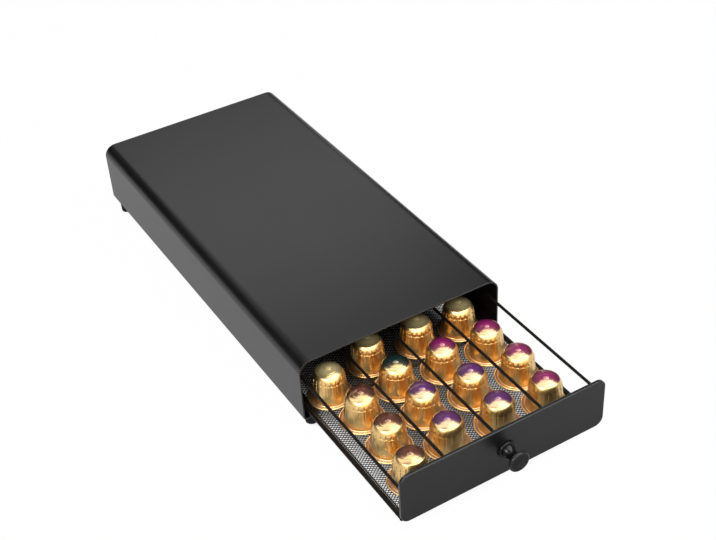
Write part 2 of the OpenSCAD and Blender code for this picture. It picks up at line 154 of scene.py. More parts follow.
class PodSettings(bpy.types.PropertyGroup):
    """Shape and finish of the coffee pods"""
    rim: length("Rim", "Radius of the curled rim", 0.7)
    foot: length("Foot", "Radius of the body at the flange", 14.9)
    bead_height: length("Bead height", "Height of the bead round the body", 18.9)
    bead: length("Bead", "How far the bead stands out", 0.2)
    shoulder: length("Shoulder", "Radius of the body where the shoulder starts", 12.8)
    shoulder_height: length("Shoulder height", "Height at which the shoulder starts", 21.8)
    cap: length("Cap", "Radius of the cap where it meets the shoulder", 10.4)
    cap_height: length("Cap height", "Height at which the domed cap starts", 26)
    groove: length("Groove", "Radius of the groove round the dome", 6.9)
    groove_depth: length("Groove depth", "Depth of the groove round the dome", 0.06)
    bump: length("Bump", "Radius of the bump in the middle of the cap", 2.75)
    bump_rise: length("Bump rise", "Height of the bump above the dome", 0.7)
    flutes: IntProperty(name="Flutes", description="Flutes round a pod", default=20, min=8, max=40)
    flute_start: length("Flute start", "Height at which the flutes start", 6)
    flute_depth: length("Flute depth", "Depth of a flute at the shoulder", 0.6)
    flute_width: length("Flute width", "Width of a flute", 1.4)
    gold: colour("Gold", "Colour of the bare foil", (0.85, 0.58, 0.24))
    foil_roughness: share("Foil roughness", "Roughness of the foil", 0.25)
    cover: share("Print cover", "How far the print hides the foil under it", 0.62)
    brown: colour("Brown", "Cap colour", (0.13, 0.035, 0.03))
    violet: colour("Violet", "Cap colour", (0.12, 0.02, 0.17))
    green: colour("Green", "Cap colour", (0.004, 0.028, 0.03))
    magenta: colour("Magenta", "Cap colour", (0.3, 0.015, 0.14))
    plain: colour("Plain", "Cap colour of the rear row, nearly that of the foil", (0.62, 0.5, 0.24))


class StageSettings(bpy.types.PropertyGroup):
    """Floor, light and camera"""
    floor: colour("Floor", "Colour of the floor", (0.8, 0.8, 0.8))
    floor_glow: share("Floor glow", "How much of the floor is seen as plain white", 0.99)
    gloss_glow: share("Floor glow in gloss", "How much of it gloss sees as plain white", 0.7)
    overhead: power("Overhead", "Power of the large softbox above the drawer", 12.0)
    sheen: power("Sheen", "Power per square metre of the softboxes that only gloss sees", 8.6)
    room: share("Room", "Light from the white room", 0.3)


class DrawerSettings(bpy.types.PropertyGroup):
    """Everything that a user may change"""
    casing: PointerProperty(type=CasingSettings)
    front: PointerProperty(type=FrontSettings)
    wire: PointerProperty(type=WireSettings)
    pods: PointerProperty(type=PodSettings)
    stage: PointerProperty(type=StageSettings)


# ---------- Shader maths ----------
class Signal:
    """A shader socket that takes part in plain arithmetic; each step adds a Math node"""

    def __init__(self, shader, socket):
        self.shader = shader
        self.socket = socket

    def maths(self, operation, *values):
        """One Math node"""
        settings = {"operation": operation}
        return self.shader.node("ShaderNodeMath", settings, dict(enumerate(values)))

    def __add__(self, other):
        return self.maths("ADD", self, other)

    def __radd__(self, other):
        return self.maths("ADD", other, self)

    def __sub__(self, other):
        return self.maths("SUBTRACT", self, other)

    def __rsub__(self, other):
        return self.maths("SUBTRACT", other, self)

    def __mul__(self, other):
        return self.maths("MULTIPLY", self, other)

    def __rmul__(self, other):
        return self.maths("MULTIPLY", other, self)

    def __pow__(self, other):
        return self.maths("POWER", self, other)

    def sine(self):
        """The sine of the value, in radians"""
        return self.maths("SINE", self)

    def highest(self, other):
        """The larger of two values"""
        return self.maths("MAXIMUM", self, other)

    def step(self, start, end):
        """Nought at start, one at end, smooth between them"""
        settings = {"interpolation_type": "SMOOTHSTEP"}
        sockets = {"Value": self, "From Min": start, "From Max": end}
        return self.shader.node("ShaderNodeMapRange", settings, sockets)


class Shader:
    """The nodes of one material, or of the world"""

    def __init__(self, owner):
        self.owner = owner
        owner.use_nodes = True
        self.tree = owner.node_tree
        self.tree.nodes.clear()

    def node(self, kind, settings, inputs, output=0):
        """Adds a node: its settings first, then the values or links of its sockets"""
        made = self.tree.nodes.new(kind)
        for name, value in settings.items():
            setattr(made, name, value)
        for key, value in inputs.items():
            socket = made.inputs[key]
            if isinstance(value, Signal):
                self.tree.links.new(value.socket, socket)
            elif socket.type == "RGBA":
                socket.default_value = (*value, 1.0)
            else:
                socket.default_value = value
        return Signal(self, made.outputs[output]) if made.outputs else None

    def place(self, centre=(0.0, 0.0, 0.0), stretch=(1.0, 1.0, 1.0)):
        """The point on the piece in metres, seen from a centre and stretched along the axes"""
        point = self.node("ShaderNodeTexCoord", {}, {}, "Object")
        moved = self.node("ShaderNodeVectorMath", {"operation": "SUBTRACT"}, {0: point, 1: centre})
        return self.node("ShaderNodeVectorMath", {"operation": "MULTIPLY"}, {0: moved, 1: stretch})

    def parts(self, vector):
        """The three parts of a vector"""
        first = self.node("ShaderNodeSeparateXYZ", {}, {"Vector": vector})
        return [Signal(self, socket) for socket in first.socket.node.outputs]

    def noise(self, point, scale, detail=2.0):
        """Soft random spots, about 1 / scale metres apart"""
        sockets = {"Vector": point, "Scale": scale, "Detail": detail}
        return self.node("ShaderNodeTexNoise", {}, sockets)

    def spread(self, first, second):
        """How far a point lies from an axis, from its two parts across that axis"""
        return (first * first + second * second) ** 0.5

    def rub(self, grain, start, end=1.0):
        """How rubbed a point is: its wear, kept on the mesh, broken up by a grain"""
        settings = {"attribute_type": "GEOMETRY", "attribute_name": "wear"}
        wear = self.node("ShaderNodeAttribute", settings, {}, "Fac")
        return (wear * grain).step(start, end)

    def mix(self, factor, first, second):
        """A colour between two colours"""
        settings = {"data_type": "RGBA"}
        return self.node("ShaderNodeMix", settings, {0: factor, 6: first, 7: second}, 2)

    def bump(self, height, depth, under=None):
        """Raises the surface by height times depth metres"""
        sockets = {"Height": height, "Distance": depth, "Strength": 1.0}
        if under is not None:
            sockets["Normal"] = under
        return self.node("ShaderNodeBump", {}, sockets)

    def principled(self, sockets):
        """A Principled shader"""
        return self.node("ShaderNodeBsdfPrincipled", {}, sockets)

    def blend(self, factor, first, second):
        """A shader between two shaders"""
        return self.node("ShaderNodeMixShader", {}, {0: factor, 1: first, 2: second})

    def finish(self, shader):
        """Ends a material in a shader"""
        self.node("ShaderNodeOutputMaterial", {}, {"Surface": shader})
        return self.owner

    def surface(self, sockets):
        """Ends a material in one Principled shader"""
        return self.finish(self.principled(sockets))


def new_shader(name):
    """An empty material to put nodes in"""
    return Shader(bpy.data.materials.new(name))


# ---------- Finishes ----------
def shade(paint, factor):
    """A lighter or darker shade of a colour, never past full"""
    return [min(1.0, part * factor) for part in paint]


def powder_coat(casing):
    """Satin black powder coat: orange peel, faint waves in the sheet, dust, rubbed edges"""
    shader = new_shader("Powder coat")
    place = shader.place()
    cloud = shader.noise(place, 22, 3)
    peel = shader.noise(place, 950, 2)
    cells = shader.node("ShaderNodeTexVoronoi", {}, {"Vector": place, "Scale": 210.0})
    speck = 1 - cells.step(0.05, 0.09)
    dust = speck * shader.noise(place, 40).step(0.55, 0.7)
    rub = shader.rub(0.35 + shader.noise(place, 260, 3), 0.45, 0.95)
    dust_grey = (0.05, 0.05, 0.048)
    thin_coat = (0.03, 0.029, 0.028)
    coat = shader.mix(cloud.step(0.3, 0.7), shade(casing.coat, 0.82), shade(casing.coat, 1.2))
    dusted = shader.mix(dust * 0.5, coat, dust_grey)
    waves = shader.bump(shader.noise(place, 14, 1), 0.05 * MM)
    return shader.surface({
        "Base Color": shader.mix(rub * 0.35, dusted, thin_coat),
        "Roughness": casing.coat_roughness - 0.03 + 0.05 * cloud + 0.05 * peel,
        "Normal": shader.bump(peel, 0.028 * MM, waves), "IOR": 1.5,
    })


def wire_coat(wires, name, depth, shine=0.14):
    """Dipped black coat on wire: slight runs, thinner and warmer where it is rubbed"""
    shader = new_shader(name)
    place = shader.place()
    cloud = shader.noise(place, 120, 3)
    runs = shader.noise(shader.place(stretch=(1.0, 0.25, 1.0)), 420, 2)
    rub = shader.rub(0.3 + shader.noise(place, 300, 2), 0.5)
    thin_coat = (0.07, 0.066, 0.062)
    coat = shader.mix(cloud.step(0.3, 0.7), shade(wires.wire_coat, 0.75), shade(wires.wire_coat, 1.3))
    return shader.surface({
        "Base Color": shader.mix(rub * 0.5, coat, thin_coat),
        "Roughness": 0.34 + 0.1 * cloud - 0.05 * rub,
        "Normal": shader.bump(runs, depth), "IOR": 1.5, "Specular IOR Level": shine,
    })


def foot_rubber(casing):
    """Matt moulded rubber with a little dust in its grain"""
    shader = new_shader("Rubber")
    place = shader.place()
    grain = shader.noise(place, 1400, 3)
    dust = shader.noise(place, 180, 4).step(0.45, 0.75)
    dust_grey = (0.02, 0.019, 0.018)
    return shader.surface({
        "Base Color": shader.mix(dust * 0.4, casing.rubber, dust_grey),
        "Roughness": 0.62 + 0.2 * grain,
        "Normal": shader.bump(grain, 0.05 * MM), "IOR": 1.5, "Specular IOR Level": 0.2,
    })


def knob_lacquer(front, centre):
    """Semi-gloss lacquer over turned metal, with the turning rings still showing"""
    shader = new_shader("Knob lacquer")
    place = shader.place()
    from_centre = shader.parts(shader.place(centre))
    radius = shader.spread(from_centre[0], from_centre[2])
    cloud = shader.noise(place, 260, 3)
    radians_per_metre = 16000
    rings = (radius * radians_per_metre + 2.5 * cloud).sine()
    rub = shader.rub(0.35 + shader.noise(place, 420, 3), 0.5)
    thin_coat = (0.055, 0.052, 0.05)
    base = shader.mix(cloud.step(0.35, 0.7), front.knob_black, shade(front.knob_black, 1.5))
    peel = shader.bump(shader.noise(place, 1300, 2), 0.012 * MM)
    return shader.surface({
        "Base Color": shader.mix(rub * 0.6, base, thin_coat),
        "Roughness": 0.14 + 0.06 * cloud,
        "Normal": shader.bump(rings, 0.0015 * MM, peel), "IOR": 1.5, "Specular IOR Level": 0.22,
    })


def zinc_plate():
    """Bright zinc with a brushed grain and a slight yellow bloom"""
    shader = new_shader("Zinc plate")
    grain = shader.noise(shader.place(stretch=(1.0, 0.1, 1.0)), 2600, 2)
    bloom = shader.noise(shader.place(), 300, 3).step(0.4, 0.8)
    bright, yellowed = (0.52, 0.53, 0.55), (0.42, 0.40, 0.34)
    return shader.surface({
        "Base Color": shader.mix(bloom, bright, yellowed),
        "Roughness": 0.26 + 0.2 * grain, "Metallic": 1.0,
        "Normal": shader.bump(grain, 0.008 * MM),
    })


def pod_foil(pods, name, cap):
    """Lacquered gold foil with a printed colour over its cap, with painted highlight and shade on the
    print and a painted reflection on the flange
    """
    shader = new_shader(name)
    place = shader.place()
    across, along, up = shader.parts(place)
    radius = shader.spread(across, along)
    fleck = shader.noise(place, 900, 2)
    cloud = shader.noise(place, 130, 3)
    ragged = radius + (cloud - 0.5) * (0.8 * MM)
    printed = (1 - ragged.step(10 * MM, 10.7 * MM)) * up.step(25.2 * MM, 26 * MM)
    drawn = shader.noise(shader.place(stretch=(1.0, 1.0, 0.15)), 1500, 2)
    normal = shader.bump(drawn + 0.5 * fleck, 0.005 * MM)
    # The flange ring is painted pinkish brown: a painted reflection of the dark parts round it in its
    # foil
    ring = radius.step(15 * MM, 15.6 * MM) - radius.step(17.5 * MM, 18 * MM)
    flange = ring * (1 - up.step(MM, 2 * MM))
    painted_flange_reflection, bare_foil = (0.3, 0.18, 0.16), (0.93, 0.80, 0.55)
    deep = [part * factor for part, factor in zip(pods.gold, (0.92, 0.86, 0.72))]
    body = shader.mix(cloud.step(0.3, 0.7), deep, shade(pods.gold, 1.06))
    gold = shader.mix(flange * 0.85, body, painted_flange_reflection)
    foil = shader.principled({
        "Base Color": shader.mix(shader.rub(0.4 + fleck, 0.45) * 0.6, gold, bare_foil),
        "Roughness": pods.foil_roughness + 0.06 * cloud + 0.04 * fleck + 0.2 * flange - 0.11 * printed,
        "Metallic": 1.0, "Coat Weight": 0.4, "Coat Roughness": 0.12, "Normal": normal,
    })
    # Painted highlight and painted shade: the ink is painted lighter towards the middle and darker out
    # towards the rim, with a little random fleck
    tone = radius.step(4 * MM, 10 * MM) * 0.8 + 0.2 * fleck.step(0.35, 0.7)
    ink = shader.principled({
        "Base Color": shader.mix(tone, shade(cap, 1.5), shade(cap, 0.5)),
        "Roughness": 0.24 + 0.1 * cloud, "IOR": 1.5, "Normal": normal,
    })
    thicker = 1 - radius.step(2.2 * MM, 3.2 * MM)
    return shader.finish(shader.blend(printed * (pods.cover + 0.3 * thicker), foil, ink))


# ---------- Meshes ----------
class Shape:
    """Surfaces of one piece, gathered before they become a mesh"""

    def __init__(self):
        self.points = []
        self.wears = []
        self.faces = []
        self.count = 0

    def add(self, points, faces, wear=0.0):
        """Adds points, the faces between them and how worn each point is"""
        points = np.asarray(points, float).reshape(-1, 3)
        faces = np.asarray(faces) + self.count
        self.points.append(points)
        self.wears.append(np.zeros(len(points)) + np.asarray(wear, float).reshape(-1))
        self.faces.extend(faces.tolist())
        self.count += len(points)

    def rows(self, rows, wear=0.0, closed=False):
        """A surface through closed rows of points; closed joins the last row to the first"""
        rows = np.asarray(rows, float)
        count, around = rows.shape[:2]
        index = np.arange(count * around).reshape(count, around)
        index = np.pad(index, ((0, int(closed)), (0, 1)), "wrap")
        corners = [index[:-1, :-1], index[:-1, 1:], index[1:, 1:], index[1:, :-1]]
        worn = np.zeros((count, around)) + np.asarray(wear, float).reshape(-1, 1)
        self.add(rows, np.stack(corners, axis=-1).reshape(-1, 4), worn)

    def mesh(self, name):
        """The finished mesh, with points that meet joined and edges marked sharp"""
        mesh = bpy.data.meshes.new(name)
        mesh.from_pydata(np.concatenate(self.points).tolist(), [], self.faces)
        wear = mesh.attributes.new("wear", "FLOAT", "POINT")
        wear.data.foreach_set("value", np.concatenate(self.wears))
        joined = bmesh.new()
        joined.from_mesh(mesh)
        bmesh.ops.remove_doubles(joined, verts=joined.verts, dist=0.0005 * MM)
        bmesh.ops.recalc_face_normals(joined, faces=joined.faces)
        joined.to_mesh(mesh)
        joined.free()
        mesh.shade_smooth()
        mesh.set_sharp_from_angle(angle=math.radians(38))
        return mesh


def fit_piece(shape, name, material, body, nodes, place=(0.0, 0.0, 0.0), turn=0.0):
    """Makes an object of a shape, in place of the nodes that it stands for"""
    mesh = shape.mesh(name)
    mesh.materials.append(material)
    piece = bpy.data.objects.new(name, mesh)
    piece.location = place
    piece.rotation_euler.z = turn
    bpy.context.scene.collection.objects.link(piece)
    piece.modifiers.new("Even normals", "WEIGHTED_NORMAL").keep_sharp = True
    bpy.context.view_layer.update()
    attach(piece, body)
    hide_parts(*nodes)


def dress_node(node, material):
    """Gives a node that stays as it is its finish"""
    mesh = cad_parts[node].data
    mesh.materials.clear()
    mesh.materials.append(material)


def arc(first, last, step):
    """Whole degrees from first to last, in radians"""
    return [math.radians(angle) for angle in range(first, last + 1, step)]


def circle_steps(count):
    """Even steps once round a circle, in radians"""
    return np.linspace(0, 2 * math.pi, count, endpoint=False)


def quarter(radius, steps=4):
    """Points of a rounded edge: how far in from the side, and how far back from the face"""
    angles = [math.pi / 2 * step / steps for step in range(steps + 1)]
    return [(radius * (1 - math.sin(angle)), radius * (1 - math.cos(angle))) for angle in angles]


def bent_line(corners, radii, step=0.16):
    """A line with its corners rounded: its points, and its direction at each"""
    corners = [Vector(corner) for corner in corners]
    points = [corners[0]]
    ways = [(corners[1] - corners[0]).normalized()]
    for before, corner, after, radius in zip(corners, corners[1:], corners[2:], radii):
        into = (corner - before).normalized()
        out = (after - corner).normalized()
        turn = into.angle(out)
        side = (out - into * into.dot(out)).normalized()
        start = corner - into * radius * math.tan(turn / 2)
        steps = math.ceil(turn / step)
        for angle in [turn * i / steps for i in range(steps + 1)]:
            sideways = side * radius * (1 - math.cos(angle))
            points.append(start + sideways + into * radius * math.sin(angle))
            ways.append(into * math.cos(angle) + side * math.sin(angle))
    points.append(corners[-1])
    ways.append((corners[-1] - corners[-2]).normalized())
    return np.array(points), np.array(ways)


def wire(shape, corners, radius, bend=0.0, sides=20):
    """A round wire along a bent line, with its cut ends slightly rounded"""
    line = bent_line(corners, [bend] * (len(corners) - 2))
    # Each end gets two more rings: one closed to a point, and one narrower than the wire
    points, ways = (np.pad(part, ((2, 2), (0, 0)), "edge") for part in line)
    blunt = 0.25 * radius
    points[2] += ways[0] * blunt
    points[-3] -= ways[-1] * blunt
    widths = [0.0, radius - blunt] + [radius] * (len(points) - 4) + [radius - blunt, 0.0]
    across = np.array(Vector(ways[0]).orthogonal().normalized())
    angles = circle_steps(sides)
    rings = []
    for point, way, width in zip(points, ways, widths):
        across = across - way * np.dot(across, way)
        across = across / np.linalg.norm(across)
        other = np.cross(way, across)
        ring = np.outer(np.cos(angles), across) + np.outer(np.sin(angles), other)
        rings.append(point + width * ring)
    shape.rows(rings)


def set_on(points, centre, axis):
    """Points made round an upright axis, tipped onto another axis and moved to a centre"""
    tip = np.array(Vector(axis).to_track_quat("Z", "Y").to_matrix())
    return np.array(points) @ tip.T + np.array(centre)


def turned(shape, profile, centre, axis, facets, wear=0.0):
    """A shape turned round an axis: the profile gives radius and height along it"""
    angles = circle_steps(facets)
    circle = np.stack([np.cos(angles), np.sin(angles), np.zeros(facets)], axis=-1)
    rows = [radius * circle + np.array([0, 0, height]) for radius, height in profile]
    shape.rows(set_on(rows, centre, axis), wear)


def weld(shape, centre, axis, radius, size, chance):
    """A lumpy ring of weld metal round a wire where it meets another piece"""
    rings = []
    round_steps, bead_steps = 20, 10
    for angle in circle_steps(round_steps):
        lump = size * chance.uniform(0.75, 1.15)
        out = np.array([math.cos(angle), math.sin(angle), 0.0])
        rings.append([out * (radius + lump * math.cos(turn)) + np.array([0, 0, lump * math.sin(turn)])
                      for turn in circle_steps(bead_steps)])
    shape.rows(set_on(rings, centre, axis), wear=0.3, closed=True)


def weld_pair(shape, centre, axis, radius, size, chance):
    """Two welds, one at each side, as far out as the centre given"""
    for side in (-1, 1):
        weld(shape, (side * centre[0], *centre[1:]), axis, radius, size, chance)


# ---------- Casing ----------
def casing_loop(settings, inset):
    """The sheet's cross-section in X and Z, with every face moved in by inset"""
    low, high = node_box("casing_shell")
    half_sheet = settings.sheet / 2
    side = high[0] - half_sheet
    floor = low[2] + half_sheet
    top = high[2] - half_sheet
    strip = high[0] - settings.flange + half_sheet
    corners = [(-strip, 0, floor), (-side, 0, floor), (-side, 0, top),
               (side, 0, top), (side, 0, floor), (strip, 0, floor)]
    low_bend = settings.low_bend - half_sheet
    top_bend = settings.top_bend - half_sheet
    points, ways = bent_line(corners, [low_bend, top_bend, top_bend, low_bend], step=0.09)
    out = np.stack([-ways[:, 2], ways[:, 1], ways[:, 0]], axis=-1)
    half = half_sheet - inset

    def cut_edge(at, way, side):
        return [at + half * (math.cos(angle) * way + math.sin(angle) * side) for angle in CUT_ROUND]

    end = cut_edge(points[-1], ways[-1], out[-1])
    start = cut_edge(points[0], -ways[0], -out[0])
    return np.concatenate([points + half * out, end, (points - half * out)[::-1], start])


def casing_sheet(settings):
    """One sheet folded down at both sides and in under the bottom"""
    low, high = node_box("casing_shell")
    worn_strip = 1.3 * MM
    rounded = quarter(settings.edge_round)
    cuts = [(inset, low[1] + depth, 1.0) for inset, depth in rounded]
    cuts += [(0.0, low[1] + worn_strip, 0.0), (0.0, high[1] - worn_strip, 0.0)]
    cuts += [(inset, high[1] - depth, 1.0) for inset, depth in reversed(rounded)]
    loops = [casing_loop(settings, inset) + np.array([0, depth, 0]) for inset, depth, wear in cuts]
    shape = Shape()
    shape.rows(loops, [wear for inset, depth, wear in cuts])
    around = len(loops[0])
    cut_points = len(CUT_ROUND)
    face_points = around // 2 - cut_points
    for first in (0, (len(loops) - 1) * around):
        # The sheet's thickness at the front and at the rear: its long strip, then both rounded cuts
        inner_first = first + around - cut_points - 1
        outer = range(first, first + face_points)
        inner = range(inner_first, inner_first - face_points, -1)
        shape.faces.extend(zip(outer, outer[1:], inner[1:], inner))
        shape.faces.append(range(outer[-1], inner[-1] + 1))
        shape.faces.append([*range(inner_first, first + around), first])
    return shape


def foot_shape(node):
    """A stick-on foot: a tapered body and a rounded tread with a shallow dish in it"""
    low, high = node_box(node)
    middle = node_middle(node)
    radius = (high[0] - low[0]) / 2
    height = high[2] - low[2]
    tread = radius - 0.6 * MM
    profile = [(0, 0.35 * MM), (0.45 * tread, 0.33 * MM), (0.6 * tread, 0.12 * MM), (0.66 * tread, 0)]
    for angle in arc(-90, 0, 15):
        profile.append((tread - MM * (1 - math.cos(angle)), MM * (1 + math.sin(angle))))
    for inward, down in ((0.25, 1.3), (0.05, 1.1), (0, 0.8), (0, 0.3), (0.3, 0)):
        profile.append((radius - inward * MM, height - down * MM))
    shape = Shape()
    turned(shape, [*profile, (0, height)], (middle[0], middle[1], low[2]), UPWARD, facets=64)
    return shape


# ---------- Front ----------
def round_outline(half_width, half_height, radius, steps=14):
    """A rectangle with rounded corners in X and Z, round its own middle"""
    points = []
    for turn in range(4):
        x = (half_width - radius) * (1 if turn in (0, 3) else -1)
        z = (half_height - radius) * (1 if turn in (0, 1) else -1)
        for step in range(steps + 1):
            angle = math.pi / 2 * (turn + step / steps)
            points.append((x + radius * math.cos(angle), 0.0, z + radius * math.sin(angle)))
    return np.array(points)


def panel_shape(settings):
    """A thick plate with rounded corners and edges, and the hole for the knob's screw"""
    low, high = node_box("front_panel")
    middle = node_middle("front_panel")
    half = (high - low) / 2
    axis = np.array([middle[0], 0, node_middle("knob")[2]])
    flat = 2.4 * settings.edge_round

    def outline(inset, depth):
        rounded = round_outline(half[0] - inset, half[2] - inset, settings.corner - inset)
        return rounded + np.array([middle[0], depth, middle[2]])

    def hole(depth):
        spokes = outline(0.0, 0.0) - axis
        spokes[:, 1] = 0.0
        spokes = spokes / np.linalg.norm(spokes, axis=1)[:, None]
        return axis + settings.hole * spokes + np.array([0, depth, 0])

    rounds = quarter(settings.edge_round, steps=6)
    edges = [outline(inset, low[1] + depth) for inset, depth in rounds]
    edges += [outline(inset, high[1] - depth) for inset, depth in reversed(rounds)]
    rows = [hole(low[1]), outline(flat, low[1]), *edges, outline(flat, high[1]), hole(high[1])]
    shape = Shape()
    shape.rows(rows, [0.0, 0.0] + [1.0] * len(edges) + [0.0, 0.0], closed=True)
    return shape


def knob_profile(settings, reach, head):
    """Half section of the turned knob: radius, distance out from the panel, and wear"""
    rose, neck = settings.rose, settings.neck
    rose_thick = 2 * MM
    waist = (rose + neck) / 2
    neck_start = 3.4 * MM
    neck_end = reach - settings.head_rim
    under_head = 0.8 * head
    edge = settings.head_rim / 2.5
    dome = 0.5 * MM
    rim_half = (settings.head_rim - dome) / 2
    points = [(0, 0, 0), (rose - 0.15 * MM, 0, 0.4), (rose, 0.15 * MM, 0.4)]
    for angle in arc(0, 90, 15):
        points.append((rose - MM * (1 - math.cos(angle)), rose_thick - MM * (1 - math.sin(angle)), 0.8))
    for out, up, wear in ((0.35, 0, 0), (0.08, 0.1, 0), (0, 0.4, 0.2)):
        points.append((waist + out * MM, rose_thick + up * MM, wear))
    for part in [step / 20 for step in range(21)]:
        hollow = (waist - neck) * (1 - part) ** 3
        flare = (under_head - neck) * part ** 4
        points.append((neck + hollow + flare, neck_start + (neck_end - neck_start) * part, 0))
    for angle in arc(-60, 60, 10):
        height = neck_end + rim_half * (1 + math.sin(angle) / math.sin(math.radians(60)))
        points.append((head - edge * (1 - math.cos(angle)), height, 1.0))
    groove = 0.56 * head
    slope = dome / (head - edge)
    for offset, deep in ((0.9, 0), (0.42, 0), (0.3, 0.14), (0, 0.2), (-0.3, 0.14), (-0.42, 0), (-0.9, 0)):
        radius = groove + offset * MM
        points.append((radius, reach - slope * radius - deep * MM, 0.1))
    return points + [(0.25 * head, reach - slope * 0.22 * head, 0), (0, reach, 0)]


# ---------- Wire frame ----------
def loop_corners(low, high, radius, height):
    """A wire that runs back along the left, across the rear and forward along the right"""
    left, right = low[0] + radius, high[0] - radius
    rear = high[1] - radius
    return [(left, low[1], height), (left, rear, height), (right, rear, height), (right, low[1], height)]


def floor_frame_shape(wires, chance):
    """The rod round the floor, the bars welded across it and the welds"""
    low, high = node_box("floor_frame")
    rod, cross = wires.rod / 2, wires.cross / 2
    height = high[2] - rod
    cross_height = low[2] + cross
    shape = Shape()
    wire(shape, loop_corners(low, high, rod, height), rod, wires.loop_bend, sides=24)
    hoop_low, hoop_high = node_box("divider_centre")
    first = hoop_low[1] + (hoop_high[0] - hoop_low[0]) / 2
    bars = 3
    step = (high[1] - rod - first) / bars
    reach = high[0] - rod - 0.35 * wires.rod
    for y in [first + bar * step for bar in range(bars)]:
        wire(shape, [(-reach, y, cross_height), (reach, y, cross_height)], cross)
        weld_pair(shape, (high[0] - 2 * rod - 0.1 * MM, y, cross_height), ACROSS,
                  cross - 0.1 * MM, 0.55 * MM, chance)
    weld_pair(shape, (high[0] - rod, low[1] + 0.3 * MM, height), ALONG,
              rod - 0.15 * MM, 0.6 * MM, chance)
    return shape


def top_rail_shape(wires, chance):
    """The rail round the top and the welds at the panel"""
    low, high = node_box("top_rail")
    radius = (high[2] - low[2]) / 2
    height = low[2] + radius
    shape = Shape()
    wire(shape, loop_corners(low, high, radius, height), radius, wires.loop_bend)
    weld_pair(shape, (high[0] - radius, low[1] + 0.25 * MM, height), ALONG,
              radius - 0.1 * MM, 0.5 * MM, chance)
    return shape


def post_shape(node, chance):
    """A short post at a back corner, welded at both ends"""
    low, high = node_box(node)
    x, y = node_middle(node)[:2]
    radius = (high[0] - low[0]) / 2
    shape = Shape()
    wire(shape, [(x, y, low[2]), (x, y, high[2])], radius)
    for height in (low[2] + 0.35 * MM, high[2] - 0.35 * MM):
        weld(shape, (x, y, height), UPWARD, radius - 0.1 * MM, 0.45 * MM, chance)
    return shape


def divider_shape(node, wires, chance):
    """A wire hoop between two columns, welded at its feet and to the rail behind"""
    low, high = node_box(node)
    rod_top = node_box("floor_frame")[1][2]
    x = node_middle(node)[0]
    radius = (high[0] - low[0]) / 2
    front, back, top = low[1] + radius, high[1] - radius, high[2] - radius
    shape = Shape()
    corners = [(x, front, low[2]), (x, front, top), (x, back, top), (x, back, rod_top + 0.05 * MM)]
    wire(shape, corners, radius, wires.hoop_bend)
    for y, height in ((front, low[2] + 0.35 * MM), (back, rod_top + 0.4 * MM)):
        weld(shape, (x, y, height), UPWARD, radius - 0.1 * MM, 0.5 * MM, chance)
    return shape


def mesh_lattice(shape, wires, x_limit, y_start, y_end, middle_z, keep):
    """Expanded metal: knots in staggered rows, with four tilted strands leaving each"""
    steps_x = 2 * round(x_limit / wires.mesh_across)
    pitch_x = 2 * x_limit / steps_x
    steps_y = 2 * round((y_end - y_start) / wires.mesh_along)
    pitch_y = (y_end - y_start) / steps_y
    rows, columns = np.meshgrid(np.arange(steps_y + 1), np.arange(2 * steps_x + 1), indexing="ij")
    x = -x_limit + columns * pitch_x / 2
    y = y_start + rows * pitch_y
    present = ((rows + columns) % 2 == 0) & keep(x, y)
    number = np.full(present.shape, -1)
    number[present] = np.arange(present.sum())
    spots = np.stack([x[present], y[present]], axis=-1)
    corners = []
    # A knot's upper corners come first, then those under them
    for side in (0.5, -0.5):
        for across, along, lift in ((1, 0, 0), (0, 1, 1), (-1, 0, 0), (0, -1, -1)):
            moved = spots + np.array([across * wires.bond_across, along * wires.bond_along])
            z = middle_z + side * wires.mesh_sheet + lift * wires.mesh_tilt
            corners.append(np.column_stack([moved, np.full(len(spots), z)]))
    knot_points = len(corners)
    under = knot_points // 2
    points = np.stack(corners, axis=1).reshape(-1, 3)
    knot = number[present] * knot_points
    faces = [knot[:, None] + np.array([0, 1, 2, 3]), knot[:, None] + np.array([7, 6, 5, 4])]
    padded = np.pad(number, 1, constant_values=-1)
    # Two strands leave each knot for the next row: from two near corners to two far ones
    for step_x, near, far in ((1, (0, 1), (3, 2)), (-1, (1, 2), (0, 3))):
        other = padded[2:, 1 + step_x:padded.shape[1] - 1 + step_x]
        joined = present & (other >= 0)
        first, second = (number[joined] * knot_points + corner for corner in near)
        third, fourth = (other[joined] * knot_points + corner for corner in far)
        for strand in ((first, third, fourth, second),
                       (second + under, fourth + under, third + under, first + under),
                       (first, first + under, third + under, third),
                       (second, fourth, fourth + under, second + under)):
            faces.append(np.column_stack(strand))
    shape.add(points, np.concatenate(faces), wear=0.35)


def mesh_floor_shapes(wires):
    """The mesh floor, in a front and a rear half, with a flat border"""
    low, high = node_box("mesh_floor")
    middle = node_middle("mesh_floor")
    half_x, split = high[0], middle[1]
    corner = wires.loop_bend - wires.rod / 2 - 0.2 * MM
    inner = wires.mesh_border * 0.7

    def keep(x, y):
        over_x = np.maximum(np.abs(x) - (half_x - corner), 0)
        over_y = np.maximum(y - (high[1] - corner), 0)
        return np.hypot(over_x, over_y) < corner - inner * 0.9

    def edge(inset, rear, up):
        """One half of the mesh's edge, as an open line moved in and up"""
        x = half_x - inset
        y = high[1] - inset if rear else low[1] + inset
        line = [(-x, split, 0), (-x, y, 0), (x, y, 0), (x, split, 0)]
        points = bent_line(line, [corner - inset] * 2)[0] if rear else np.array(line)
        return points + np.array([0, 0, middle[2]]) + np.array([0, 0, up])

    up = (high[2] - low[2]) / 2
    shapes = []
    for start, end, rear in ((low[1] + inner, split, False), (split, high[1] - inner, True)):
        shape = Shape()
        mesh_lattice(shape, wires, half_x - inner, start, end, middle[2], keep)
        loops = [edge(inset, rear, rise) for inset, rise in
                 ((0.0, up), (wires.mesh_border, up), (wires.mesh_border, -up), (0.0, -up))]
        shape.rows(np.stack(loops, axis=1))
        shapes.append(shape)
    return shapes


